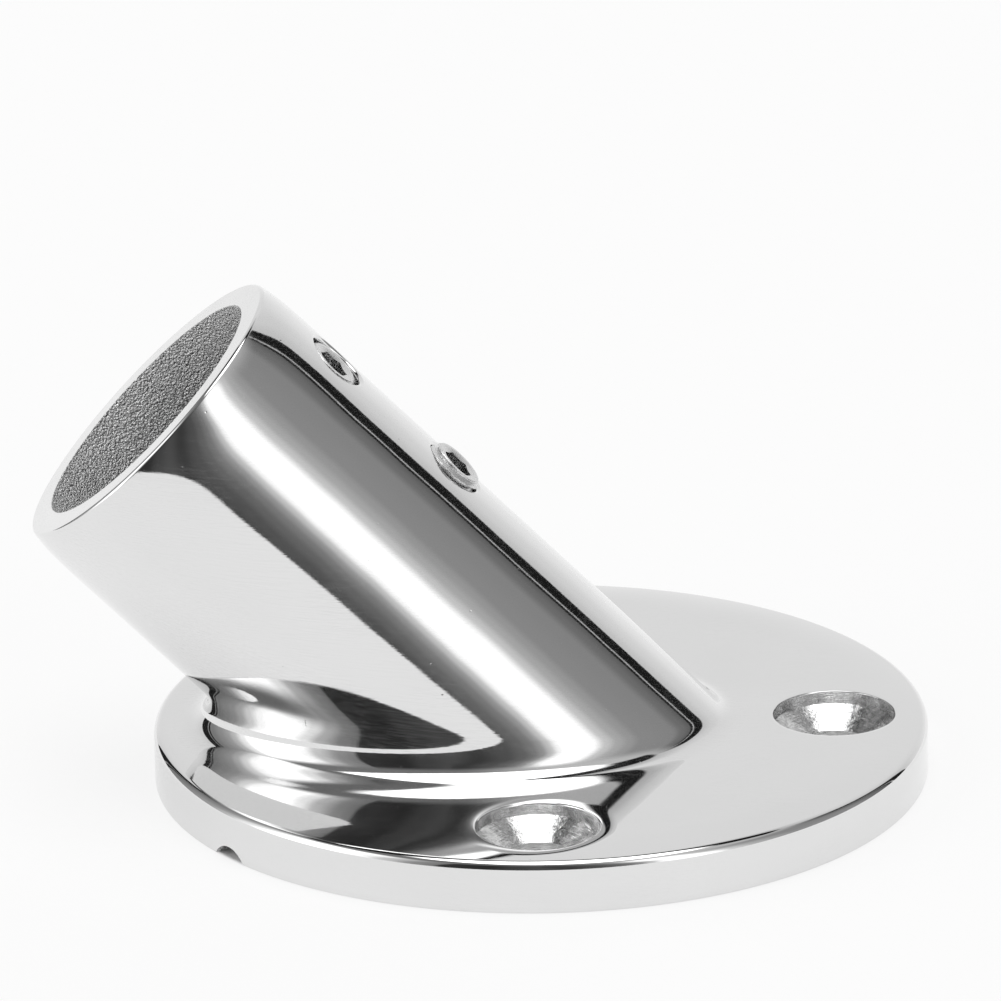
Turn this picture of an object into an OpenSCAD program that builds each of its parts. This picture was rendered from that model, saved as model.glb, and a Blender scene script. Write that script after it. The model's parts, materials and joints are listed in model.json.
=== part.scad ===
// Stanchion base: a round stainless base plate and a 45 degree tube socket cast as one
// piece, with two set screws that clamp a rail tube in the socket.
// Units are millimetres and +Z is up. The origin is the centre of the plate's underside,
// and the socket's axis starts there and leans towards -X.

/* [Base plate] */
// Outside diameter of the round base plate
plate_d = 75; // [73:1:90]
// Thickness of the base plate
plate_t = 5.4; // [5:0.1:7]
// Radius of the rounded upper edge of the plate
plate_edge_r = 0.9; // [0.4:0.1:1.5]

/* [Tube socket] */
// Outside diameter of the rail tube that the socket takes
rail_d = 25.4; // [22:0.1:26]
// Difference in diameter between the socket's bore and the rail tube
rail_play = 0.4; // [0.2:0.1:0.8]
// Wall thickness of the socket
socket_wall = 3.6; // [3:0.1:4]
// Lean of the socket from upright, towards -X
socket_lean = 45; // [40:1:50]
// Distance from the underside's centre to the socket's lip, along the axis
socket_len = 52.9; // [50:0.1:65]
// Depth of the bore from the lip to the shoulder that stops the rail tube
bore_depth = 35.5; // [30:0.5:36]
// Radius of the rounded outer edge of the lip
lip_edge_r = 0.4; // [0.4:0.1:1.2]
// Size of the chamfer inside the lip
lip_chamfer = 0.35; // [0.2:0.05:0.8]
// Radius of the fillet where the socket meets the plate
foot_fillet_r = 3; // [2:0.1:3]

/* [Mounting holes] */
// Diameter of the circle that the three mounting holes sit on
hole_circle_d = 56.8; // [55:0.2:60]
// Diameter of a mounting hole
hole_d = 6.6; // [5:0.1:7]
// Diameter of the countersink at the plate's top
sink_d = 11.8; // [11:0.1:12.5]
// Angle across the countersink's cone
sink_angle = 110; // [100:1:120]
// Depth of the straight lead-in above the countersink's cone
sink_lead = 1.3; // [0.5:0.1:1.5]

/* [Drain] */
// Diameter of the drain hole from the bore's floor to the underside
drain_d = 12; // [8:0.5:14]
// Width of a drain groove at the underside
groove_w = 4.5; // [3:0.1:5]
// Height of a drain groove
groove_h = 1.3; // [0.8:0.1:1.5]
// Angle between each drain groove and the low side of the socket
groove_angle = 38; // [30:1:55]

/* [Set screws] */
// Thread diameter of the set screws
screw_d = 6; // [5:1:6]
// Length of a set screw
screw_len = 3.4; // [3:0.1:3.4]
// Distance across the flats of the hexagon socket
hex_flats = 3; // [2.5:0.1:3]
// Depth of the hexagon socket
hex_depth = 2; // [1.5:0.1:2.5]
// Distance from the lip to the upper set screw
screw_1_from_lip = 9.7; // [9:0.1:12]
// Distance between the two set screws
screw_pitch = 15.6; // [12:0.1:16]
// How far the lower set screw stands out of the socket
screw_2_proud = 0.6; // [0.5:0.1:1.5]
// Depth of the upper set screw below the socket's ridge
screw_1_sunk = 0.4; // [0:0.1:0.4]
// Gap round a set screw in its hole
screw_gap = 0.05; // [0.02:0.01:0.1]

/* [Hidden] */
$fn = 96;
bore_d = rail_d + rail_play;
socket_d = bore_d + 2 * socket_wall;
socket_r = socket_d / 2;
plate_r = plate_d / 2;
// The bore's floor, where the rail tube stops, measured along the axis
stop_at = socket_len - bore_depth;
screw_1_at = socket_len - screw_1_from_lip;
screw_2_at = screw_1_at - screw_pitch;
// The screw holes are chamfered to this diameter at the socket's ridge
screw_mouth_d = screw_d + 0.6;
screw_mouth_h = (screw_mouth_d - screw_d) / 2;
// Chamfer at both ends of a set screw
screw_chamfer = 0.5;
// A groove is the top of a circle this large, whose centre lies below the underside
groove_r = (pow(groove_w / 2, 2) + pow(groove_h, 2)) / (2 * groove_h);
// Extra length that keeps a cut clear of the face it starts from
over = 1;
steel = [0.78, 0.79, 0.8];
bright_steel = [0.86, 0.87, 0.88];

// The foot fillet is swept round the socket in this many steps, each an arc of this many
FILLET_STEPS = 72;
FILLET_ARC = 6;
// How far the fillet's closed back lies inside the socket and the plate
FILLET_SINK = 0.8;
// How far the fillet's two edges are let into the socket's wall and the plate's top
FILLET_BITE = 0.04;

// Puts children in the socket's own frame: +Z is its axis, +X its upper ridge
module along_socket() {
    rotate([0, -socket_lean, 0])
        children();
}

// A screw's frame: +Z points out of the socket's ridge, at a distance along its axis
module at_screw(distance) {
    along_socket()
        translate([0, 0, distance])
            rotate([0, 90, 0])
                children();
}

module plate() {
    rotate_extrude()
        union() {
            square([plate_r - plate_edge_r, plate_t]);
            square([plate_r, plate_t - plate_edge_r]);
            translate([plate_r - plate_edge_r, plate_t - plate_edge_r])
                circle(plate_edge_r);
        }
}

module socket_outside() {
    start = -plate_r;
    along_socket()
        rotate_extrude()
            union() {
                translate([0, start])
                    square([socket_r, socket_len - start - lip_edge_r]);
                translate([0, start])
                    square([socket_r - lip_edge_r, socket_len - start]);
                translate([socket_r - lip_edge_r, socket_len - lip_edge_r])
                    circle(lip_edge_r);
            }
}

module above_underside() {
    side = 2 * (socket_len + plate_r);
    translate([-side / 2, -side / 2, 0])
        cube(side);
}

// Unit vectors of the socket: its axis, and the outward normal at an angle round it
function axis_dir() = [-sin(socket_lean), 0, cos(socket_lean)];
function wall_dir(a) = [cos(socket_lean) * cos(a), sin(a), sin(socket_lean) * cos(a)];
// The fillet is the path of a ball that rolls between the socket and the plate's top
function ball_centre(a) =
    let (out = (socket_r + foot_fillet_r - FILLET_BITE) * wall_dir(a))
    out + axis_dir() * (plate_t + foot_fillet_r - FILLET_BITE - out[2]) / axis_dir()[2];
// Direction from the ball's centre to its surface, from the socket (0) to the plate (1)
function ball_dir(a, t) =
    let (from = -wall_dir(a), turn = acos(-from[2]))
    (sin((1 - t) * turn) * from + sin(t * turn) * [0, 0, -1]) / sin(turn);
// The corner between socket and plate, moved into both by FILLET_SINK
function sunk_corner(a) =
    let (out = (socket_r - FILLET_SINK) * wall_dir(a))
    out + axis_dir() * (plate_t - FILLET_SINK - out[2]) / axis_dir()[2];
function fillet_ring(a) = concat(
    [for (i = [0 : FILLET_ARC])
        ball_centre(a) + foot_fillet_r * ball_dir(a, i / FILLET_ARC)],
    [ball_centre(a) - [0, 0, foot_fillet_r + FILLET_SINK],
     sunk_corner(a),
     ball_centre(a) - (foot_fillet_r + FILLET_SINK) * wall_dir(a)]);

module foot_fillet() {
    n = FILLET_ARC + 4;
    points = [for (k = [0 : FILLET_STEPS - 1]) each fillet_ring(k * 360 / FILLET_STEPS)];
    faces = [for (k = [0 : FILLET_STEPS - 1]) for (i = [0 : n - 1])
        let (m = (k + 1) % FILLET_STEPS, j = (i + 1) % n)
        each [[k * n + i, m * n + i, m * n + j], [k * n + i, m * n + j, k * n + j]]];
    polyhedron(points, faces, convexity = 6);
}

module bore() {
    along_socket() {
        translate([0, 0, stop_at])
            cylinder(h = bore_depth + over, d = bore_d);
        translate([0, 0, socket_len - lip_chamfer])
            cylinder(h = 2 * lip_chamfer, d1 = bore_d, d2 = bore_d + 4 * lip_chamfer);
    }
}

module drain() {
    along_socket()
        translate([0, 0, -plate_r])
            cylinder(h = plate_r + stop_at + over, d = drain_d);
    for (side = [-1, 1])
        rotate([0, 0, 180 + side * groove_angle])
            translate([0, 0, groove_h - groove_r])
                rotate([0, 90, 0])
                    cylinder(h = plate_r + over, r = groove_r);
}

// A hole for a countersunk screw, cut down from the plate's top
module mounting_hole() {
    cone_h = (sink_d - hole_d) / 2 / tan(sink_angle / 2);
    translate([0, 0, -over])
        cylinder(h = plate_t + over, d = hole_d);
    translate([0, 0, plate_t - sink_lead - cone_h])
        cylinder(h = cone_h, d1 = hole_d, d2 = sink_d);
    translate([0, 0, plate_t - sink_lead])
        cylinder(h = sink_lead + over, d = sink_d);
}

module screw_hole() {
    cylinder(h = socket_r + 2 * over, d = screw_d + 2 * screw_gap);
    translate([0, 0, socket_r - screw_mouth_h])
        cylinder(h = 2 * screw_mouth_h, d1 = screw_d, d2 = 2 * screw_mouth_d - screw_d);
}

// A set screw whose outer end face is at the height top above the socket's axis
module set_screw(distance, top) {
    at_screw(distance)
        difference() {
            translate([0, 0, top - screw_len])
                rotate_extrude()
                    polygon([[0, 0], [screw_d / 2 - screw_chamfer, 0],
                             [screw_d / 2, screw_chamfer],
                             [screw_d / 2, screw_len - screw_chamfer],
                             [screw_d / 2 - screw_chamfer, screw_len], [0, screw_len]]);
            translate([0, 0, top - hex_depth])
                cylinder(h = hex_depth + over, d = hex_flats / cos(30), $fn = 6);
        }
}

module base_casting() {
    color(steel)
        difference() {
            union() {
                plate();
                intersection() {
                    socket_outside();
                    above_underside();
                }
                foot_fillet();
            }
            bore();
            drain();
            for (a = [-90, 0, 90])
                rotate([0, 0, a])
                    translate([hole_circle_d / 2, 0, 0])
                        mounting_hole();
            for (distance = [screw_1_at, screw_2_at])
                at_screw(distance)
                    screw_hole();
        }
}

module upper_set_screw() {
    color(bright_steel)
        set_screw(screw_1_at, socket_r - screw_1_sunk);
}

module lower_set_screw() {
    color(bright_steel)
        set_screw(screw_2_at, socket_r + screw_2_proud);
}

base_casting();
upper_set_screw();
lower_set_screw();
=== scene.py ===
"""Looks of the stanchion base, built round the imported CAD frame.

The polished casting and the two set screws are fine meshes that stand for the CAD solids of
the same size. Lengths in this script are millimetres, and MM turns them into metres.
"""

import json
import math

import bmesh
import bpy
import numpy as np
from mathutils import Matrix, Vector, noise


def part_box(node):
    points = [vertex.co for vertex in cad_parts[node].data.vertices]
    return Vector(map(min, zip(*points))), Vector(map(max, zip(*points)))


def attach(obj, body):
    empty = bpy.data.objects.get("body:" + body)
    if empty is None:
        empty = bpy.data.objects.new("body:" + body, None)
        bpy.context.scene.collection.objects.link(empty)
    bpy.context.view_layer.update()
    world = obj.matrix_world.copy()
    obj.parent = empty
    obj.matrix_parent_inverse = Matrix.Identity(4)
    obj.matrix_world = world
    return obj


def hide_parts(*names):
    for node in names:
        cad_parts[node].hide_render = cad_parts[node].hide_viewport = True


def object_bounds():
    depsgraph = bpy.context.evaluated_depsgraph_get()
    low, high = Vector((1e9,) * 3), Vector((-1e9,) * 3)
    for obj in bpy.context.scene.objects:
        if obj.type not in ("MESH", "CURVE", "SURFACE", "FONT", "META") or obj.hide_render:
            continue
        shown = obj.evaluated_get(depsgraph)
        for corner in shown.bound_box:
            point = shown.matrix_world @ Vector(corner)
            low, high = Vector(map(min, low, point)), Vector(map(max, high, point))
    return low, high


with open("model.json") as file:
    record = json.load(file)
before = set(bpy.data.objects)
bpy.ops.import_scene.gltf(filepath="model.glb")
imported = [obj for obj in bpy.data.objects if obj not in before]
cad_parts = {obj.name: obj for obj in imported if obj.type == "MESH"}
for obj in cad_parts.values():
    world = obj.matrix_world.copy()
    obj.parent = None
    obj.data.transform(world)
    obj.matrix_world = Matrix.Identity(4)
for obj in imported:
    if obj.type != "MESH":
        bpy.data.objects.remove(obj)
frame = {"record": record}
cad_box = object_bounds()

MM = 0.001
ORIGIN = np.zeros(3)
Z = np.array([0.0, 0.0, 1.0])

# ---------------------------------------------------------------- sizes from the frame
mounts = {mount["name"]: mount for mount in frame["record"]["mounts"]}
BORE_R = mounts["rail_socket"]["dims"]["r_mm"]
HOLE_R = mounts["side_bolts"]["dims"]["hole_r_mm"]
HOLE_OUT = mounts["side_bolts"]["dims"]["spacing_y_mm"] / 2
PLATE_R = cad_box[1].y / MM
# The socket's frame: its axis, the direction of its upper ridge, and its side
AXIS = np.array(mounts["rail_socket"]["axis"])
AXIS /= np.linalg.norm(AXIS)
RIDGE = np.array([AXIS[2], 0.0, -AXIS[0]])
SIDE = np.array([0.0, 1.0, 0.0])

# ------------------------------------------- sizes that the frame doesn't state, as in CAD
PLATE_T = 5.4
EDGE_R = 0.9
WALL = 3.6
LIP_R = 0.4
CHAMFER = 0.35
SINK_R = 5.9
SINK_LEAD = 1.3
SINK_ANGLE = 110
SINK_DROP = (SINK_R - HOLE_R) / math.tan(math.radians(SINK_ANGLE / 2))
DRAIN_R = 6.0
GROOVE_W = 4.5
GROOVE_H = 1.3
GROOVE_ANGLE = 38.0
GROOVE_FROM = 4.0
SCREW_R = 3.0
SCREW_LEN = 3.4
SCREW_GAP = 0.05
HEX_FLATS = 3.0
HEX_DEPTH = 2.0
SOCKET_R = BORE_R + WALL
BORE_DEPTH = mounts["rail_socket"]["dims"]["length_mm"] + CHAMFER
# The highest point of the box is on the lip's rounded edge
LIP_AT = (cad_box[1].z / MM - LIP_R) / AXIS[2] - (SOCKET_R - LIP_R) * RIDGE[2] / AXIS[2] + LIP_R
FLOOR_AT = LIP_AT - BORE_DEPTH

# ----------------------------------------------------------- what the CAD leaves simple
# The plate's lower edge and the bore's rim are rounded a little
HEEL_R = 0.2
RIM_R = 0.06
# The as-cast bore flares to the chamfer's width at the lip, over this length
FLARE_LEN = 5.0
MOUTH_R = BORE_R + CHAMFER
FLARE = CHAMFER - RIM_R
THREAD_PITCH = 1.0

# ------------------------------------------------------------------------- mesh fineness
# Columns of the casting, of a turned cutter, of a set screw and of its mouth's cutter
TURN = 360
LATHE = 160
SCREW_COLUMNS = 120
HEX_MOUTH_COLUMNS = 72
# Rings along each stretch of the casting's skin, of a hole's cutter and of a screw's skin
RINGS = {
    "floor": 6, "bore": 90, "rim": 4, "lip": 4, "lip_edge": 13, "ease": 16, "tube": 30,
    "foot": 25, "top": 26, "edge": 13, "side": 6, "heel": 5, "under": 8,
    "cone": 8, "mouth": 8, "dip": 11, "screw_mouth": 6, "screw": 86,
}
RINGS_PER_PITCH = 10
# Extra length that keeps a cut clear of the face it starts from
OVER = 1.0

# -------------------------------------------------- what hand polishing does to the shape
# The socket's wall eases in towards the lip, and the plate's top rolls off to its edge
EASE_LEN = 6.5
EASE_SLOPE = math.tan(math.radians(12))
EASE_POWER = 3.5
ROLL_LEN = 5.5
ROLL_SLOPE = math.tan(math.radians(7))
ROLL_POWER = 2.5
# The roll-off takes at most this share of the top between the socket's foot and the edge
ROLL_SHARE = 0.85
# A shallow dip is worn round each mounting hole, this steep at the hole's rounded mouth
DIP_SLOPE = math.tan(math.radians(9))
# Heading of each mounting hole, its mouth's radius, and the width of the dip round it
HOLES = ((0.0, 0.12, 0.4), (-math.pi / 2, 0.2, 1.5), (math.pi / 2, 0.2, 1.5))
# The blend at the socket's foot: its largest size, and the room that it has on the low side
FOOT_R = 4.6
FOOT_ROOM = 7.0

# A face's patch says which smooth surface it belongs to. Patches are material slots until
# the holes are cut, because the cutting tool carries slots over.
PATCHES = (
    "floor", "bore", "rim", "lip", "lip_edge", "tube", "fillet", "top", "edge", "side",
    "heel", "under", "hole", "cone", "lead", "mouth", "tapped", "screw_mouth", "drain", "groove",
)
SLOT = {name: index for index, name in enumerate(PATCHES)}


def unit(vectors):
    """Each row of an array of vectors, scaled to length one."""
    return vectors / np.maximum(np.linalg.norm(vectors, axis=-1, keepdims=True), 1e-12)


def arc(start, end, count):
    """Angles in radians from start to end degrees, both included."""
    return np.radians(np.linspace(start, end, count))


def spread(count):
    """Angles spread evenly over one turn."""
    return np.linspace(0, 2 * math.pi, count, endpoint=False)


def circle(turn):
    """Points of the unit circle round +Z, at the given angles."""
    return np.stack([np.cos(turn), np.sin(turn), np.zeros(len(turn))], axis=1)


def level(heading):
    """The level direction at a heading in radians."""
    return np.array([math.cos(heading), math.sin(heading), 0.0])


# ============================================================================ the casting
ANGLES = spread(TURN)
WALL_DIR = np.outer(np.cos(ANGLES), RIDGE) - np.outer(np.sin(ANGLES), SIDE)


def socket_ring(radius, along):
    """A ring round the socket's axis. Both values may be one number or one per column."""
    radius = np.broadcast_to(radius, (TURN,))[:, None]
    along = np.broadcast_to(along, (TURN,))[:, None]
    return radius * WALL_DIR + along * AXIS


def foot_rings(count):
    """Rings of the blend from the socket's wall to the plate's top, flat at both ends."""
    turn = np.arccos(WALL_DIR[:, 2])
    # The smaller of the two sizes, with a smooth passage from one to the other
    power = 6
    radius = (FOOT_R**-power + (FOOT_ROOM / np.tan(turn / 2)) ** -power) ** (-1 / power)
    lift = (PLATE_T + radius - (SOCKET_R + radius) * WALL_DIR[:, 2]) / AXIS[2]
    centre = (SOCKET_R + radius)[:, None] * WALL_DIR + lift[:, None] * AXIS
    down = unit(WALL_DIR[:, 2:] * WALL_DIR - Z)
    outward = unit(WALL_DIR - WALL_DIR[:, 2:] * Z)
    # Three control points in line at each end let the curve start and end without a bend
    reach = 0.9
    handle = (reach * radius * np.tan(turn / 4))[:, None]
    high = centre - radius[:, None] * WALL_DIR
    low = centre - radius[:, None] * Z
    control = (high, high + handle * down, high + 2 * handle * down,
               low - 2 * handle * outward, low - handle * outward, low)
    degree = len(control) - 1
    for t in np.linspace(0, 1, count):
        yield sum(math.comb(degree, i) * t**i * (1 - t) ** (degree - i) * point
                  for i, point in enumerate(control))


def plate_ring(radius, height, heading):
    """A ring round the plate's axis, with its points at the given headings."""
    return np.stack([radius * np.cos(heading), radius * np.sin(heading),
                     np.broadcast_to(height, (TURN,))], axis=1)


def eased(along):
    """The socket's outside radius and its slope at a distance along the axis."""
    t = np.clip((along - EASE_FROM) / EASE_LEN, 0, 1)
    return SOCKET_R - EASE_DROP * t**EASE_POWER, EASE_SLOPE * t ** (EASE_POWER - 1)


def rolled(radius, heading):
    """The height of the plate's top and its slope at a radius and heading."""
    width = np.interp(heading, ROLL_HEADING, ROLL_WIDTH, period=2 * math.pi)
    t = np.clip(1 - (BRINK_R - radius) / width, 0, 1)
    height = PLATE_T - ROLL_SLOPE * width / ROLL_POWER * t**ROLL_POWER
    return height, ROLL_SLOPE * t ** (ROLL_POWER - 1)


# The lip's round starts where the eased wall ends, and the plate's where its top ends
EASE_DROP = EASE_SLOPE * EASE_LEN / EASE_POWER
EASE_ANGLE = math.atan(EASE_SLOPE)
ROLL_ANGLE = math.atan(ROLL_SLOPE)
EASE_TO = LIP_AT - LIP_R * (1 - math.sin(EASE_ANGLE))
EASE_FROM = EASE_TO - EASE_LEN
LIP_TURN_R = SOCKET_R - EASE_DROP - LIP_R * math.cos(EASE_ANGLE)
BRINK_R = PLATE_R - EDGE_R * (1 - math.sin(ROLL_ANGLE))
FOOT = list(foot_rings(RINGS["foot"]))
FOOT_EDGE_R = np.linalg.norm(FOOT[-1][:, :2], axis=1)
ROLL_HEADING = np.arctan2(FOOT[-1][:, 1], FOOT[-1][:, 0])
ROLL_WIDTH = np.minimum(ROLL_LEN, ROLL_SHARE * (BRINK_R - FOOT_EDGE_R))


def casting_rings():
    """The skin of the casting before any hole is cut, as (ring, patch that follows it)."""
    # Radius of the rings next to the two poles, and how the top's rings crowd to its edge
    floor_pole_r, under_pole_r, crowding = 1.0, 2.0, 1.5
    rings = []

    def add(patch, points):
        rings.append((points, SLOT[patch]))

    for radius in np.linspace(floor_pole_r, BORE_R, RINGS["floor"])[:-1]:
        add("floor", socket_ring(radius, FLOOR_AT))
    for along in np.linspace(FLOOR_AT, LIP_AT - RIM_R, RINGS["bore"])[:-1]:
        flare = max(0.0, 1 - (LIP_AT - RIM_R - along) / FLARE_LEN) ** 2
        add("bore", socket_ring(MOUTH_R - RIM_R - FLARE * (1 - flare), along))
    for a in arc(0, 90, RINGS["rim"])[:-1]:
        add("rim", socket_ring(MOUTH_R - RIM_R * math.cos(a), LIP_AT - RIM_R * (1 - math.sin(a))))
    for radius in np.linspace(MOUTH_R, LIP_TURN_R, RINGS["lip"])[:-1]:
        add("lip", socket_ring(radius, LIP_AT))
    for a in np.linspace(math.pi / 2, EASE_ANGLE, RINGS["lip_edge"])[:-1]:
        add("lip_edge", socket_ring(LIP_TURN_R + LIP_R * math.cos(a),
                                    LIP_AT - LIP_R * (1 - math.sin(a))))
    for along in np.linspace(EASE_TO, EASE_FROM, RINGS["ease"])[:-1]:
        add("tube", socket_ring(eased(along)[0], along))
    foot = FOOT[0] @ AXIS
    for t in np.linspace(0, 1, RINGS["tube"])[:-1]:
        add("tube", socket_ring(SOCKET_R, (1 - t) * EASE_FROM + t * foot))
    for ring in FOOT[:-1]:
        add("fillet", ring)
    heading = np.unwrap(ROLL_HEADING)
    for t in 1 - np.linspace(1, 0, RINGS["top"])[:-1] ** crowding:
        radius = FOOT_EDGE_R + t * (BRINK_R - FOOT_EDGE_R)
        add("top", plate_ring(radius, rolled(radius, heading)[0], heading))
    brink = rolled(BRINK_R, heading)[0]
    for a in np.linspace(ROLL_ANGLE, math.pi / 2, RINGS["edge"])[:-1]:
        add("edge", plate_ring(PLATE_R - EDGE_R * (1 - math.sin(a)),
                               brink - EDGE_R * (math.cos(ROLL_ANGLE) - math.cos(a)), heading))
    wall = brink - EDGE_R * math.cos(ROLL_ANGLE)
    for t in np.linspace(0, 1, RINGS["side"])[:-1]:
        add("side", plate_ring(PLATE_R, (1 - t) * wall + t * HEEL_R, heading))
    for a in arc(0, 90, RINGS["heel"])[:-1]:
        add("heel", plate_ring(PLATE_R - HEEL_R * (1 - math.cos(a)),
                               HEEL_R * (1 - math.sin(a)), heading))
    for radius in np.linspace(PLATE_R - HEEL_R, under_pole_r, RINGS["under"]):
        add("under", plate_ring(radius, 0.0, heading))
    return rings


def mesh_object(name, points, faces, slots):
    """An object with the mesh given in millimetres, and its faces in material slots."""
    mesh = bpy.data.meshes.new(name)
    mesh.from_pydata([tuple(p) for p in np.asarray(points) * MM], [], faces)
    mesh.polygons.foreach_set("material_index", np.asarray(slots, np.int32))
    obj = bpy.data.objects.new(name, mesh)
    bpy.context.scene.collection.objects.link(obj)
    return obj


def closed_skin(name, rings, first, last):
    """A closed surface through rings of equal length, with a pole point at each end."""
    columns = len(rings[0][0])
    points = np.vstack([np.atleast_2d(first)] + [ring for ring, _ in rings] + [np.atleast_2d(last)])
    after = np.roll(np.arange(columns), -1)
    faces = [(0, 1 + after[k], 1 + k) for k in range(columns)]
    slots = [rings[0][1]] * columns
    for row in range(len(rings) - 1):
        near, far = 1 + row * columns, 1 + (row + 1) * columns
        faces += [(near + k, near + after[k], far + after[k], far + k) for k in range(columns)]
        slots += [rings[row][1]] * columns
    near, pole = 1 + (len(rings) - 1) * columns, len(points) - 1
    faces += [(near + k, near + after[k], pole) for k in range(columns)]
    slots += [rings[-1][1]] * columns
    return mesh_object(name, points, [tuple(int(i) for i in face) for face in faces], slots)


# Columns of a turned cutter, shifted a little so that they miss the casting's own columns
COLUMN_SHIFT = 0.0137
TURNED = spread(LATHE) + COLUMN_SHIFT


def lathe(name, profile, origin, up, across):
    """A turned solid: profile is (radius, height, patch), from its low pole to its high one."""
    around = np.outer(np.cos(TURNED), across) + np.outer(np.sin(TURNED), np.cross(up, across))
    rings = [(origin + radius * around + height * up, SLOT[patch])
             for radius, height, patch in profile]
    low, high = profile[0][1], profile[-1][1]
    return closed_skin(name, rings, origin + low * up, origin + high * up)


def mounting_hole(heading, mouth_r, dip):
    """The cutter for one countersunk hole, with a rounded mouth and a dip worn round it."""
    axis = HOLE_OUT * level(heading)
    around = circle(TURNED)
    lead_low = PLATE_T - SINK_LEAD
    cone_low = lead_low - SINK_DROP
    rings = []

    def add(radius, height, patch):
        rings.append((axis + radius * around + height * Z, SLOT[patch]))

    def add_under_top(radius, depth):
        points = axis + radius * around
        top = rolled(np.linalg.norm(points, axis=1), np.arctan2(points[:, 1], points[:, 0]))[0]
        points[:, 2] = top - depth
        rings.append((points, SLOT["mouth"]))

    add(HOLE_R, -OVER, "hole")
    add(HOLE_R, cone_low / 2, "hole")
    for t in np.linspace(0, 1, RINGS["cone"])[:-1]:
        add(HOLE_R + t * (SINK_R - HOLE_R), cone_low + t * SINK_DROP, "cone")
    add(SINK_R, lead_low, "lead")
    add(SINK_R, lead_low + SINK_LEAD / 2, "lead")
    end = math.pi / 2 - math.atan(DIP_SLOPE)
    for a in np.linspace(0, end, RINGS["mouth"])[:-1]:
        add_under_top(SINK_R + mouth_r * (1 - math.cos(a)),
                      DIP_SLOPE * dip / 2 + mouth_r * (math.sin(end) - math.sin(a)))
    brim_r = SINK_R + mouth_r * (1 - math.cos(end))
    # The cutter leaves the top just before the dip runs out, so that it still cuts cleanly
    share = 0.95
    for t in np.linspace(0, share, RINGS["dip"]):
        add_under_top(brim_r + t * dip, DIP_SLOPE * dip / 2 * (1 - t) ** 2)
    add(brim_r + share * dip, PLATE_T + OVER, "mouth")
    return closed_skin("cut_hole", rings, axis - OVER * Z, axis + (PLATE_T + OVER) * Z)


def thread_wave(height, turn):
    """How deep a thread's groove is, from 0 at its crest to 1 at its root."""
    # The two flanks would meet beyond the root, so the clip leaves a flat there and at the crest
    meeting, steepness = 1.25, 3.0
    phase = (height / THREAD_PITCH - turn / (2 * math.pi)) % 1.0
    return np.clip(meeting - np.abs(phase - 0.5) * steepness, 0, 1)


def screw_hole(along):
    """The cutter for a tapped hole in the socket's ridge, whose mouth follows the wall."""
    groove, mouth_r, mouth_turn = 0.22, 0.4, 75
    # The thread starts inside the bore and ends under the ridge, and the mouth's round ends
    # in a short slope that leaves the wall
    low, high = BORE_R - 0.8, SOCKET_R - 0.9
    slope_out, slope_up = 0.2, 0.045
    radius = SCREW_R + SCREW_GAP
    around = np.outer(np.cos(TURNED), -AXIS) + np.outer(np.sin(TURNED), SIDE)
    origin = along * AXIS
    rings = []

    def add(patch, radii, heights):
        radii = np.broadcast_to(radii, TURNED.shape)[:, None]
        heights = np.broadcast_to(heights, TURNED.shape)[:, None]
        rings.append((origin + radii * around + heights * RIDGE, SLOT[patch]))

    def wall_height(radii):
        return np.sqrt(SOCKET_R**2 - (radii * np.sin(TURNED)) ** 2)

    for height in np.arange(low, high, THREAD_PITCH / RINGS_PER_PITCH):
        add("tapped", radius + groove * thread_wave(height, TURNED), height)
    for a in arc(0, mouth_turn, RINGS["screw_mouth"]):
        radii = radius + mouth_r * (1 - math.cos(a))
        add("screw_mouth", radii, wall_height(radii) - mouth_r * (1 - math.sin(a)))
    radii += slope_out
    add("screw_mouth", radii, wall_height(radii) + slope_up)
    add("screw_mouth", radii, SOCKET_R + OVER)
    return closed_skin("cut_screw_hole", rings, origin + low * RIDGE,
                       origin + (SOCKET_R + OVER) * RIDGE)


def drain():
    """The cutter for the hole from the bore's floor to the underside."""
    profile = [(DRAIN_R, -PLATE_R / 2, "drain"), (DRAIN_R, FLOOR_AT + OVER, "drain")]
    return lathe("cut_drain", profile, ORIGIN, AXIS, RIDGE)


def groove_axis(side):
    """Direction of a drain groove, its radius and the height of its axis."""
    heading = math.pi + side * math.radians(GROOVE_ANGLE)
    radius = ((GROOVE_W / 2) ** 2 + GROOVE_H**2) / (2 * GROOVE_H)
    return level(heading), radius, GROOVE_H - radius


def drain_groove(side):
    """The cutter for one groove from the drain hole to the plate's rim."""
    direction, radius, height = groove_axis(side)
    profile = [(radius, GROOVE_FROM, "groove"), (radius, PLATE_R + OVER, "groove")]
    return lathe("cut_groove", profile, height * Z, direction, Z)


def cut(obj, cutters):
    """Takes the cutters out of obj and deletes them. They must not touch each other."""
    joined = bmesh.new()
    for cutter in cutters:
        joined.from_mesh(cutter.data)
        bpy.data.objects.remove(cutter)
    tool = mesh_object("cutters", np.empty((0, 3)), [], [])
    joined.to_mesh(tool.data)
    joined.free()
    for _ in obj.data.materials:
        tool.data.materials.append(None)
    modifier = obj.modifiers.new("cut", "BOOLEAN")
    modifier.operation = "DIFFERENCE"
    modifier.solver = "EXACT"
    modifier.object = tool
    bpy.context.view_layer.update()
    evaluated = obj.evaluated_get(bpy.context.evaluated_depsgraph_get())
    mesh = bpy.data.meshes.new_from_object(evaluated)
    obj.modifiers.clear()
    old = obj.data
    obj.data = mesh
    bpy.data.meshes.remove(old)
    bpy.data.objects.remove(tool)


def radial(points, origin, axis):
    """Vectors from a line to each point, at right angles to the line."""
    offset = points - origin
    return offset - np.outer(offset @ axis, axis)


def ring_normal(points, origin, axis, radius):
    """Directions from a circle round an axis to each point: the normals of a torus."""
    return points - (origin + radius * unit(radial(points, origin, axis)))


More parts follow.
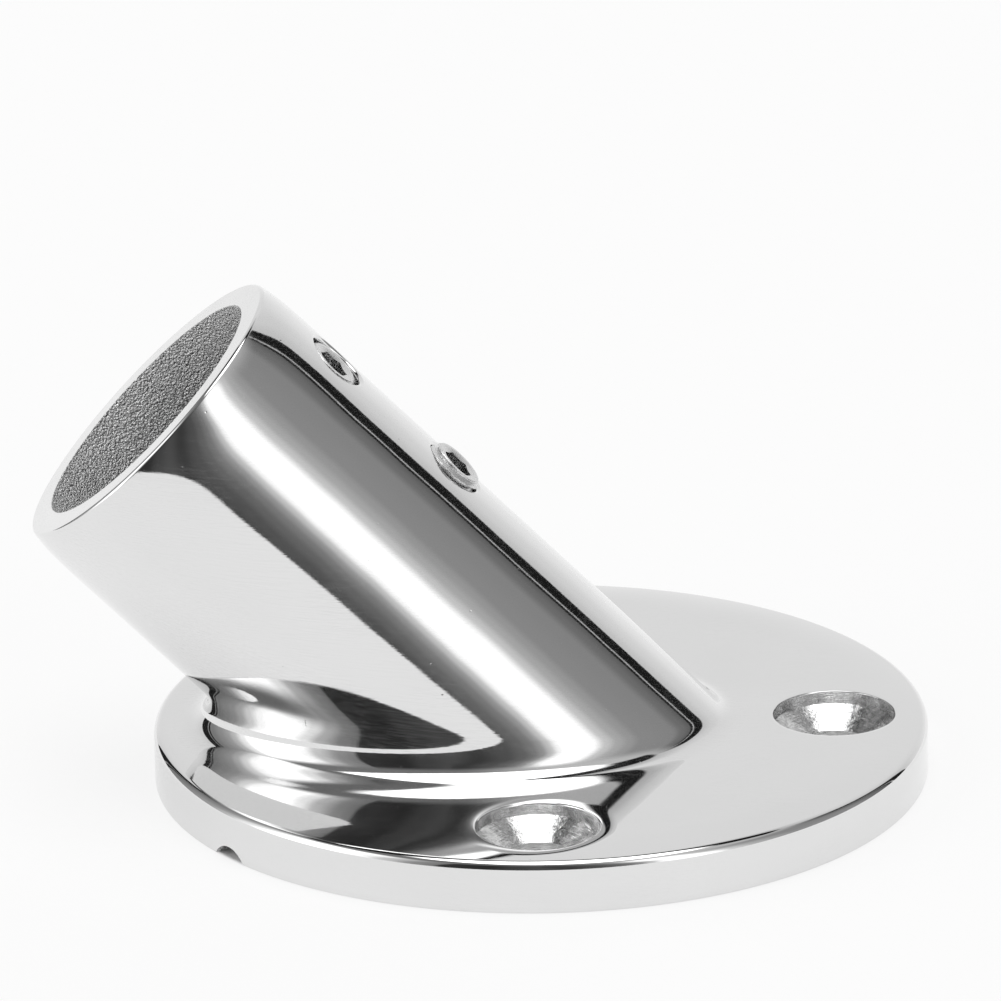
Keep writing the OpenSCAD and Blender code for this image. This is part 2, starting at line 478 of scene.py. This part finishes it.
def tube_normal(points):
    """Straight out from the socket's axis, tipped forward where the wall eases in."""
    slope = eased(points @ AXIS)[1]
    return unit(radial(points, ORIGIN, AXIS)) + slope[:, None] * AXIS


def top_normal(points):
    """Straight up, tipped outward where the plate's top rolls off."""
    out = radial(points, ORIGIN, Z)
    slope = rolled(np.linalg.norm(out, axis=1), np.arctan2(out[:, 1], out[:, 0]))[1]
    return Z + slope[:, None] * unit(out)


def edge_normal(points):
    """The normal of the plate's rounded edge, from the radius alone."""
    out = radial(points, ORIGIN, Z)
    lean = np.clip(np.linalg.norm(out, axis=1) - (PLATE_R - EDGE_R), 0, EDGE_R) / EDGE_R
    return lean[:, None] * unit(out) + np.sqrt(1 - lean**2)[:, None] * Z


def hole_offsets(points):
    """Vectors from the axis of the nearest mounting hole to each point."""
    axes = [HOLE_OUT * level(heading) for heading, _, _ in HOLES]
    offsets = np.stack([radial(points, axis, Z) for axis in axes])
    nearest = np.linalg.norm(offsets, axis=2).argmin(axis=0)
    return offsets[nearest, np.arange(len(points))]


def groove_normal(points):
    """Towards the axis of the nearer drain groove."""
    options = []
    for side in (-1, 1):
        direction, _, height = groove_axis(side)
        options.append(-radial(points, height * Z, direction))
    near = np.linalg.norm(options[0], axis=1) < np.linalg.norm(options[1], axis=1)
    return np.where(near[:, None], options[0], options[1])


# The exact normal of each patch that is a true surface. The others use their mesh's own.
EXACT_NORMAL = {
    "floor": lambda p: np.tile(AXIS, (len(p), 1)),
    "rim": lambda p: ring_normal(p, (LIP_AT - RIM_R) * AXIS, AXIS, MOUTH_R),
    "lip": lambda p: np.tile(AXIS, (len(p), 1)),
    "lip_edge": lambda p: ring_normal(p, (LIP_AT - LIP_R) * AXIS, AXIS, LIP_TURN_R),
    "tube": tube_normal,
    "top": top_normal,
    "edge": edge_normal,
    "side": lambda p: radial(p, ORIGIN, Z),
    "heel": lambda p: ring_normal(p, HEEL_R * Z, Z, PLATE_R - HEEL_R),
    "under": lambda p: np.tile(-Z, (len(p), 1)),
    "hole": lambda p: -hole_offsets(p),
    "cone": lambda p: SINK_DROP * unit(-hole_offsets(p)) + (SINK_R - HOLE_R) * Z,
    "lead": lambda p: -hole_offsets(p),
    "drain": lambda p: -radial(p, ORIGIN, AXIS),
    "groove": groove_normal,
}


def mesh_arrays(mesh):
    """Vertex positions in millimetres, and for each corner its vertex and its face."""
    points = np.empty(len(mesh.vertices) * 3)
    mesh.vertices.foreach_get("co", points)
    corner_vertex = np.empty(len(mesh.loops), np.int32)
    mesh.loops.foreach_get("vertex_index", corner_vertex)
    totals = np.empty(len(mesh.polygons), np.int32)
    mesh.polygons.foreach_get("loop_total", totals)
    return points.reshape(-1, 3) / MM, corner_vertex, np.repeat(np.arange(len(totals)), totals)


def set_patch_normals(mesh):
    """Gives every corner the exact normal of its patch, so reflections run true."""
    points, corner_vertex, corner_face = mesh_arrays(mesh)
    slots = np.empty(len(mesh.polygons), np.int32)
    mesh.polygons.foreach_get("material_index", slots)
    face_normal = np.empty(len(mesh.polygons) * 3)
    mesh.polygons.foreach_get("normal", face_normal)
    face_normal = face_normal.reshape(-1, 3)
    area = np.empty(len(mesh.polygons))
    mesh.polygons.foreach_get("area", area)
    corner_slot = slots[corner_face]
    normals = np.zeros((len(corner_vertex), 3))
    for name, slot in SLOT.items():
        corners = np.nonzero(corner_slot == slot)[0]
        if not len(corners):
            continue
        vertices = corner_vertex[corners]
        if name in EXACT_NORMAL:
            normals[corners] = unit(EXACT_NORMAL[name](points[vertices]))
        else:
            total = np.zeros((len(points), 3))
            weight = face_normal[corner_face[corners]] * area[corner_face[corners], None]
            np.add.at(total, vertices, weight)
            normals[corners] = unit(total[vertices])
    mesh.normals_split_custom_set([tuple(n) for n in normals])


def cast_relief(rings):
    """Roughens the bore as sand-textured casting, always away from the bore's axis."""
    depth, grain = 0.05, 0.9
    for points, slot in rings:
        if slot != SLOT["bore"]:
            continue
        for column, point in enumerate(points):
            swell = noise.noise(Vector(point / grain)) * 0.5 + 0.5
            points[column] = point + WALL_DIR[column] * depth * swell


def build_casting():
    """The whole casting, with every hole cut and its patches still in the slots."""
    rings = casting_rings()
    first_wall = next(i for i, (_, slot) in enumerate(rings) if slot == SLOT["bore"])
    cast_relief(rings[first_wall + 1:])
    obj = closed_skin("base_casting_visual", rings, FLOOR_AT * AXIS, ORIGIN)
    for _ in PATCHES:
        obj.data.materials.append(None)
    cutters = [mounting_hole(*hole) for hole in HOLES]
    cutters += [screw_hole(screw_centre(node) @ AXIS) for node in SCREWS]
    cut(obj, [drain_groove(-1), drain_groove(1)])
    cut(obj, cutters + [drain()])
    set_patch_normals(obj.data)
    return obj


# ========================================================================= the set screws
# The body that each set screw rides on, and its turn about its own axis in degrees
SCREWS = {"upper_set_screw": ("upper_screw", 4.0), "lower_set_screw": ("lower_screw", -3.0)}
# Material slots of a set screw: its outside, and the walls of its hexagon socket
STEEL_SLOT, HEX_SLOT = 0, 1
# Faces that meet at more than this many degrees keep a sharp edge
SHARP_ANGLE = 28


def screw_centre(node):
    """The middle of a set screw, in millimetres."""
    low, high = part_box(node)
    return np.array((low + high) / 2) / MM


def screw_rings():
    """The skin of a set screw along +Z, from its cup point to its socket end."""
    depth, chamfer, cup_r, cup_depth, dog_r = 0.52, 0.5, 1.5, 0.7, 2.35
    # How fast the cones at the two ends widen, and a narrow ring that keeps an edge crisp
    dog_slope, chamfer_slope, crisp = 1.3, 1.05, 0.03
    turn = spread(SCREW_COLUMNS)
    around = circle(turn)
    rings = []

    def add(radii, height):
        radii = np.broadcast_to(radii, turn.shape)[:, None]
        rings.append((radii * around + height * Z, STEEL_SLOT))

    for radius in (0.1, 0.8, cup_r):
        add(radius, cup_depth * (1 - radius / cup_r))
    for radius in (cup_r + crisp, dog_r):
        add(radius, 0.0)
    face_r = SCREW_R - chamfer
    for height in np.linspace(0.0, SCREW_LEN, RINGS["screw"])[1:-1]:
        thread = SCREW_R - depth * thread_wave(height, turn)
        low_cone = dog_r + dog_slope * height
        high_cone = face_r + chamfer_slope * (SCREW_LEN - height)
        add(np.minimum(thread, min(low_cone, high_cone)), height)
    for radius in (face_r, face_r - crisp, 2.3, 1.0):
        add(radius, SCREW_LEN)
    return rings, cup_depth


def hex_cutter(face_height):
    """The hexagon socket of a set screw, with a drilled point at its foot."""
    corner = HEX_FLATS / 2 / math.cos(math.pi / 6)
    low, high = face_height - HEX_DEPTH, face_height + OVER
    drilled = 0.45
    rings = [(corner * circle(spread(6)) + height * Z, HEX_SLOT) for height in (low, high)]
    return closed_skin("cut_hex", rings, (low - drilled) * Z, high * Z)


def hex_mouth_cutter(face_height):
    """The countersink that leads into the hexagon socket."""
    mouth_r, slope, past = 2.1, 0.4, 0.4
    around = circle(spread(HEX_MOUTH_COLUMNS))
    rings = [(radius * around + (face_height + slope * (radius - mouth_r)) * Z, STEEL_SLOT)
             for radius in (0.2, mouth_r, mouth_r + past)]
    return closed_skin("cut_hex_mouth", rings, (face_height - slope * mouth_r) * Z,
                       (face_height + past * slope) * Z)


def build_screw(node, roll):
    """One set screw in its hole, turned by roll degrees about its own axis."""
    rings, cup_depth = screw_rings()
    obj = closed_skin(node + "_visual", rings, cup_depth * Z, SCREW_LEN * Z)
    for _ in (STEEL_SLOT, HEX_SLOT):
        obj.data.materials.append(None)
    cut(obj, [hex_cutter(SCREW_LEN)])
    cut(obj, [hex_mouth_cutter(SCREW_LEN)])
    centre = screw_centre(node)
    basis = np.stack([-AXIS, SIDE, RIDGE], axis=1)
    place = Matrix.Translation(Vector((centre - RIDGE * SCREW_LEN / 2) * MM))
    place @= Matrix(basis.tolist()).to_4x4() @ Matrix.Rotation(math.radians(roll), 4, "Z")
    obj.data.transform(place)
    obj.data.polygons.foreach_set("use_smooth", [True] * len(obj.data.polygons))
    obj.data.set_sharp_from_angle(angle=math.radians(SHARP_ANGLE))
    return obj


# ============================================================================== materials
class Tree:
    """Short calls for building a node tree."""

    def __init__(self, owner):
        owner.use_nodes = True
        self.owner = owner
        self.tree = owner.node_tree
        self.tree.nodes.clear()

    def add(self, kind, inputs=None, **settings):
        """A node with its settings made and its inputs set or linked."""
        node = self.tree.nodes.new(kind)
        for name, value in settings.items():
            setattr(node, name, value)
        for key, value in (inputs or {}).items():
            if isinstance(value, bpy.types.NodeSocket):
                self.tree.links.new(value, node.inputs[key])
            else:
                node.inputs[key].default_value = value
        return node

    def math(self, operation, a, b=0.0):
        return self.add("ShaderNodeMath", {0: a, 1: b}, operation=operation).outputs[0]

    def vector_math(self, operation, a, b, output=0):
        return self.add("ShaderNodeVectorMath", {0: a, 1: b}, operation=operation).outputs[output]

    def dot(self, vector, direction):
        return self.vector_math("DOT_PRODUCT", vector, tuple(direction), "Value")

    def span(self, value, low, high, to_low=0.0, to_high=1.0):
        """A smooth step from to_low to to_high as value goes from low to high."""
        node = self.add("ShaderNodeMapRange", {0: value, 1: low, 2: high, 3: to_low, 4: to_high},
                        interpolation_type="SMOOTHSTEP")
        return node.outputs[0]

    def edge(self, value, at, softness, to_low=0.0, to_high=1.0):
        """A smooth step centred on at, and soft over this much either way."""
        return self.span(value, at - softness, at + softness, to_low, to_high)

    def mix(self, factor, a, b):
        """A blend of two values."""
        node = self.add("ShaderNodeMix", {0: factor, 2: a, 3: b}, data_type="FLOAT")
        return node.outputs[0]

    def mix_color(self, factor, a, b):
        node = self.add("ShaderNodeMix", {0: factor, 6: a, 7: b}, data_type="RGBA")
        return node.outputs[2]

    def noise(self, vector, scale, detail=2.0, roughness=0.5):
        node = self.add("ShaderNodeTexNoise", {"Vector": vector, "Scale": scale, "Detail": detail,
                                               "Roughness": roughness})
        return node.outputs["Fac"]

    def cells(self, vector, scale):
        """The distance from the nearest of many scattered points."""
        node = self.add("ShaderNodeTexVoronoi", {"Vector": vector, "Scale": scale})
        return node.outputs["Distance"]

    def bump(self, height, distance, strength=1.0, normal=None):
        inputs = {"Height": height, "Distance": distance, "Strength": strength}
        if normal is not None:
            inputs["Normal"] = normal
        return self.add("ShaderNodeBump", inputs).outputs[0]

    def position(self):
        """The shaded point in millimetres, in the piece's own frame."""
        coordinate = self.add("ShaderNodeTexCoord").outputs["Object"]
        return self.vector_math("MULTIPLY", coordinate, (1 / MM,) * 3)

    def steel(self, color, roughness, normal):
        inputs = {"Base Color": color, "Metallic": 1.0, "Roughness": roughness, "Normal": normal}
        return self.add("ShaderNodeBsdfPrincipled", inputs).outputs[0]

    def material(self, surface):
        """Ends the tree with a surface, and gives back the material that it belongs to."""
        self.add("ShaderNodeOutputMaterial", {"Surface": surface})
        return self.owner


def grey(value):
    """A neutral grey."""
    return (value, value, value, 1.0)


def polished_material(name, scratched, stroke_depth, wave):
    """Mirror-polished stainless steel, whose last buffing strokes ran across the piece."""
    t = Tree(bpy.data.materials.new(name))
    point = t.position()
    # Buffing lines are long and fine. They bend the light a little and scatter a share of it.
    directions = (unit(np.array([1.0, 0.0, -0.12])), SIDE, unit(np.array([0.12, 0.0, 1.0])))
    lines_per_mm = (0.2, 3.4, 7.0)
    stretched = t.add("ShaderNodeCombineXYZ", {
        index: t.math("MULTIPLY", t.dot(point, direction), rate)
        for index, (direction, rate) in enumerate(zip(directions, lines_per_mm))}).outputs[0]
    lines = t.noise(stretched, scale=1.0, detail=3.0, roughness=0.65)
    patchy = t.span(t.noise(point, scale=0.14), 0.35, 0.7, 0.25 * scratched, scratched)
    share = t.math("MULTIPLY", t.span(lines, 0.4, 0.68), patchy)
    # The slow unevenness that hand buffing leaves, and a few pores of the casting
    normal = t.bump(t.noise(point, scale=0.11, detail=1.0, roughness=0.4), wave * MM)
    pores = t.span(t.cells(point, scale=0.36), 0.015, 0.05)
    normal = t.bump(pores, 0.01 * MM, 0.6, normal)
    normal = t.bump(lines, stroke_depth * MM, 1.0, normal)
    color = t.mix_color(t.noise(point, scale=0.08), grey(0.74), grey(0.78))
    haze = t.noise(point, scale=0.25, detail=4.0, roughness=0.6)
    mirror = t.steel(color, t.span(haze, 0.35, 0.75, 0.03, 0.06), normal)
    scatter = t.steel(color, 0.3, normal)
    surface = t.add("ShaderNodeMixShader", {0: share, 1: mirror, 2: scatter})
    return t.material(surface.outputs[0])


def machined_material(name):
    """Steel as the countersinking tool leaves it, with uneven chatter marks."""
    t = Tree(bpy.data.materials.new(name))
    point = t.position()
    chatter = t.noise(point, scale=1.1, detail=5.0, roughness=0.65)
    flattened = t.vector_math("MULTIPLY", point, (0.5, 0.5, 7.0))
    turned = t.noise(flattened, scale=1.0, detail=3.0, roughness=0.6)
    normal = t.bump(turned, 0.05 * MM, 0.7)
    normal = t.bump(chatter, 0.10 * MM, 0.6, normal)
    roughness = t.span(t.noise(point, scale=2.5, detail=3.0), 0.3, 0.7, 0.10, 0.24)
    color = t.mix_color(t.span(chatter, 0.35, 0.65), grey(0.62), grey(0.86))
    return t.material(t.steel(color, roughness, normal))


def cast_material(name):
    """The bore as it was cast: matt grey with a sandy grain."""
    t = Tree(bpy.data.materials.new(name))
    point = t.position()
    grain = t.noise(point, scale=3.4, detail=3.0, roughness=0.7)
    sand = t.cells(point, scale=4.4)
    normal = t.bump(grain, 0.26 * MM)
    normal = t.bump(sand, 0.13 * MM, 1.0, normal)
    roughness = t.span(grain, 0.3, 0.7, 0.28, 0.42)
    color = t.mix_color(t.span(sand, 0.1, 0.7), grey(0.98), grey(0.62))
    return t.material(t.steel(color, roughness, normal))


def ground_material(name):
    """The underside, ground flat in one direction and left dull."""
    t = Tree(bpy.data.materials.new(name))
    point = t.position()
    stretched = t.vector_math("MULTIPLY", point, (0.25, 6.0, 6.0))
    lines = t.noise(stretched, scale=1.0, detail=4.0, roughness=0.7)
    normal = t.bump(lines, 0.02 * MM, 0.7)
    roughness = t.span(t.noise(point, scale=0.3, detail=3.0), 0.3, 0.7, 0.26, 0.4)
    color = t.mix_color(lines, grey(0.5), grey(0.66))
    return t.material(t.steel(color, roughness, normal))


def hex_material(name):
    """The walls of a hexagon socket: cold-formed steel, shiny but unevenly so, with its grey
    darkened in part as painted shade.
    """
    t = Tree(bpy.data.materials.new(name))
    point = t.position()
    marks = t.noise(point, scale=1.7, detail=3.0, roughness=0.6)
    normal = t.bump(marks, 0.16 * MM, 0.8)
    roughness = t.span(marks, 0.3, 0.7, 0.05, 0.13)
    # A darker grey than the other steel: partly painted shade in the socket, and randomly uneven
    color = t.mix_color(t.span(marks, 0.35, 0.65), grey(0.4), grey(0.7))
    return t.material(t.steel(color, roughness, normal))


PATCH_MATERIAL = {
    "polished_socket": ("lip", "lip_edge", "tube", "fillet", "screw_mouth"),
    "polished_plate": ("top", "edge", "side", "heel", "mouth"),
    "machined": ("cone", "lead", "hole", "tapped"),
    "cast": ("floor", "bore", "rim", "drain", "groove"),
    "ground": ("under",),
}


def give_materials(obj, materials):
    """Turns the patch slots into one slot for each material."""
    slots = np.empty(len(obj.data.polygons), np.int32)
    obj.data.polygons.foreach_get("material_index", slots)
    order = list(PATCH_MATERIAL)
    final = np.zeros_like(slots)
    for name, patches in PATCH_MATERIAL.items():
        final[np.isin(slots, [SLOT[patch] for patch in patches])] = order.index(name)
    obj.data.materials.clear()
    for name in order:
        obj.data.materials.append(materials[name])
    obj.data.polygons.foreach_set("material_index", final)


# ================================================================================= studio
# Brightness of the light tent by the angle from straight behind the object, on its two sides.
# A softbox stands in front on either side, and the front itself is dark.
RIGHT_TENT = (
    (0, 0.86), (25, 0.84), (38, 0.77), (49, 0.67), (60, 0.14), (67, 0.19), (76, 0.29),
    (99, 0.31), (107, 0.39), (115, 0.49), (122, 0.70), (130, 1.4), (134, 1.75), (141, 1.75),
    (144.5, 1.2), (148, 0.62), (151, 0.33), (154, 0.21), (158, 0.14), (163, 0.09), (172, 0.05),
    (180, 0.08),
)
LEFT_TENT = (
    (0, 0.86), (18, 0.83), (30, 0.75), (46, 0.22), (58, 0.30), (68, 0.38), (76, 0.55),
    (86, 1.0), (94, 1.6), (102, 1.9), (118, 1.9), (127, 1.25), (134, 0.66), (144, 0.3),
    (149, 0.24), (150.5, 0.04), (165, 0.03), (172, 0.06), (180, 0.08),
)
# On each side a band of black cloth with a bright seam: angle, half width and brightness
RIGHT_BANDS = ((54.7, 5.5, 0.012), (57.6, 0.45, 0.6))
LEFT_BANDS = ((37.0, 6.2, 0.015), (40.0, 0.45, 0.4))
BAND_SOFTNESS = 0.35
# The right side leans: higher up, all that is on it lies this many degrees further round
LEAN = 5.0
LEAN_FROM, LEAN_TO = 20.0, 40.0
# The walls sweep into the table, so they are paler up to this elevation
SWEEP, SWEEP_FROM, SWEEP_TO = 1.15, -6.0, 26.0
# A black bar lies over the back, a half bright canopy over the rest, and then the ceiling.
# Each starts at an elevation, and its edge is soft over this many degrees either way.
BAR, BAR_FROM, BAR_SOFTNESS = 0.012, 55.0, 1.0
BAR_ANGLE, BAR_ANGLE_SOFTNESS = 74.0, 4.0
LEFT_CANOPY, RIGHT_CANOPY, CANOPY_FROM, CANOPY_SOFTNESS = 0.2, 0.6, 50.0, 8.0
CEILING, CEILING_FROM, LEFT_CEILING_FROM, CEILING_SOFTNESS = 3.0, 67.0, 72.0, 3.0
# How far to a side a direction points where that side's canopy and ceiling are reached
RIGHT_CANOPY_X, LEFT_CEILING_X = 0.4, -0.3


def tent_wall(t, angle, profile, bands):
    """The brightness of one side of the tent."""
    ramp = t.add("ShaderNodeValToRGB", {0: t.math("DIVIDE", angle, 180.0)})
    ramp.color_ramp.interpolation = "EASE"
    stops = ramp.color_ramp.elements
    while len(stops) < len(profile):
        stops.new(0.5)
    for stop, (at, brightness) in zip(stops, profile):
        stop.position = at / 180
        stop.color = grey(brightness)
    light = ramp.outputs[0]
    for centre, half, brightness in bands:
        offset = t.math("ABSOLUTE", t.math("SUBTRACT", angle, centre))
        mask = t.edge(offset, half, BAND_SOFTNESS, 1.0, 0.0)
        light = t.mix_color(mask, light, grey(brightness))
    return light


def build_world():
    """A light tent that only reflections and lighting see; the camera sees plain white."""
    world = bpy.data.worlds.new("studio")
    bpy.context.scene.world = world
    t = Tree(world)
    direction = t.add("ShaderNodeTexCoord").outputs["Generated"]
    x, y, z = t.add("ShaderNodeSeparateXYZ", {0: direction}).outputs
    angle = t.math("DEGREES", t.math("ARCTAN2", t.math("ABSOLUTE", x), y))
    elevation = t.math("DEGREES", t.math("ARCSINE", z))
    on_right = t.math("GREATER_THAN", x, 0.0)
    upright = t.math("SUBTRACT", angle, t.span(elevation, LEAN_FROM, LEAN_TO, 0.0, LEAN))
    right = tent_wall(t, upright, RIGHT_TENT, RIGHT_BANDS)
    left = tent_wall(t, angle, LEFT_TENT, LEFT_BANDS)
    walls = t.mix_color(on_right, left, right)
    sweep = t.span(elevation, SWEEP_FROM, SWEEP_TO, SWEEP, 1.0)
    light = t.add("ShaderNodeMix", {0: 1.0, 6: walls, 7: sweep},
                  data_type="RGBA", blend_type="MULTIPLY").outputs[2]
    to_right = t.span(x, 0.0, RIGHT_CANOPY_X)
    canopy = t.mix_color(to_right, grey(LEFT_CANOPY), grey(RIGHT_CANOPY))
    light = t.mix_color(t.edge(elevation, CANOPY_FROM, CANOPY_SOFTNESS), light, canopy)
    bar = t.math("MULTIPLY", t.edge(elevation, BAR_FROM, BAR_SOFTNESS),
                 t.edge(angle, BAR_ANGLE, BAR_ANGLE_SOFTNESS, 1.0, 0.0))
    light = t.mix_color(bar, light, grey(BAR))
    ceiling_from = t.span(x, LEFT_CEILING_X, 0.0, LEFT_CEILING_FROM, CEILING_FROM)
    above = t.math("SUBTRACT", elevation, ceiling_from)
    light = t.mix_color(t.edge(above, 0.0, CEILING_SOFTNESS), light, grey(CEILING))
    background = t.add("ShaderNodeBackground", {"Color": light, "Strength": 1.0})
    white = t.add("ShaderNodeBackground", {"Color": grey(1.0), "Strength": 1.0})
    camera_ray = t.add("ShaderNodeLightPath").outputs["Is Camera Ray"]
    surface = t.add("ShaderNodeMixShader",
                    {0: camera_ray, 1: background.outputs[0], 2: white.outputs[0]})
    t.add("ShaderNodeOutputWorld", {"Surface": surface.outputs[0]})


def build_floor():
    """A pale table top. Its front edge is near, as the reflections show."""
    half, front, back, thick, gap = 900.0, -330.0, 900.0, 40.0, 0.02
    corners = [(x, y, z) for z in (-thick, -gap) for x, y in
               ((-half, front), (half, front), (half, back), (-half, back))]
    faces = [(3, 2, 1, 0), (4, 5, 6, 7), (0, 1, 5, 4), (1, 2, 6, 5), (2, 3, 7, 6), (3, 0, 4, 7)]
    floor = mesh_object("table", corners, faces, [0] * 6)
    t = Tree(bpy.data.materials.new("table_white"))
    point = t.position()
    speckle = t.noise(point, scale=0.4, detail=3.0)
    shader = t.add("ShaderNodeBsdfPrincipled", {
        "Base Color": t.mix_color(speckle, grey(0.86), grey(0.89)), "Roughness": 0.9})
    # The table glows though it is no lamp: painted light, which also lights the piece from below.
    # The glow's strength and its share of the surface, in reflections and for the camera, which
    # sees a table that the glow makes even and only faintly shaded
    strength, shares = (1.15, 1.03), (0.6, 0.8)
    seen = t.add("ShaderNodeLightPath").outputs["Is Camera Ray"]
    glow = t.add("ShaderNodeEmission", {"Color": grey(1.0), "Strength": t.mix(seen, *strength)})
    # It doesn't glow under the plate, a painted shadow in the plate's shape, where only the drain
    # grooves let light in
    fade = 0.7
    out = t.vector_math("LENGTH", point, tuple(ORIGIN), "Value")
    share = t.math("MULTIPLY", t.span(out, PLATE_R - fade, PLATE_R), t.mix(seen, *shares))
    surface = t.add("ShaderNodeMixShader", {0: share, 1: shader.outputs[0], 2: glow.outputs[0]})
    floor.data.materials.append(t.material(surface.outputs[0]))


def build_camera():
    """The camera: nearly straight on, a little above, from far away with a long lens."""
    azimuth, elevation, roll = (math.radians(degrees) for degrees in (0.89, 21.51, -0.90))
    distance, lens, sensor = 1100.0, 407.6, 36.0
    aim_left, aim_up = 3.99, 25.92
    farthest = 10000.0
    back = Vector((math.sin(azimuth) * math.cos(elevation),
                   -math.cos(azimuth) * math.cos(elevation), math.sin(elevation)))
    right = Vector((math.cos(azimuth), math.sin(azimuth), 0.0))
    up = back.cross(right)
    right, up = (math.cos(roll) * right + math.sin(roll) * up,
                 math.cos(roll) * up - math.sin(roll) * right)
    target = (up * aim_up - right * aim_left) * MM
    camera = bpy.data.objects.new("camera", bpy.data.cameras.new("camera"))
    bpy.context.scene.collection.objects.link(camera)
    camera.data.lens = lens
    camera.data.sensor_width = sensor
    camera.data.clip_end = farthest * MM
    camera.location = back * distance * MM
    toward_camera = (camera.location - target).normalized()
    sideways = up.cross(toward_camera).normalized()
    upward = toward_camera.cross(sideways)
    facing = Matrix((sideways, upward, toward_camera)).transposed()
    camera.rotation_mode = "QUATERNION"
    camera.rotation_quaternion = facing.to_quaternion()
    bpy.context.scene.camera = camera


# =============================================================================== assembly
casting = build_casting()
finishes = (
    polished_material("polished_socket", scratched=0.13, stroke_depth=0.0011, wave=0.05),
    polished_material("polished_plate", scratched=0.03, stroke_depth=0.0006, wave=0.03),
    machined_material("machined"),
    cast_material("cast"),
    ground_material("ground"),
)
give_materials(casting, {finish.name: finish for finish in finishes})
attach(casting, "base")
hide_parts("base_casting")

# The outside of the set screws keeps the plain steel that the frame gives their CAD nodes
screw_steel = bpy.data.materials["screw_steel"]
hex_steel = hex_material("hex_steel")
for node, (body, roll) in SCREWS.items():
    screw = build_screw(node, roll)
    screw.data.materials[STEEL_SLOT] = screw_steel
    screw.data.materials[HEX_SLOT] = hex_steel
    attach(screw, body)
    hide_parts(node)

build_world()
build_floor()
build_camera()
bpy.context.scene.view_settings.view_transform = "Standard"
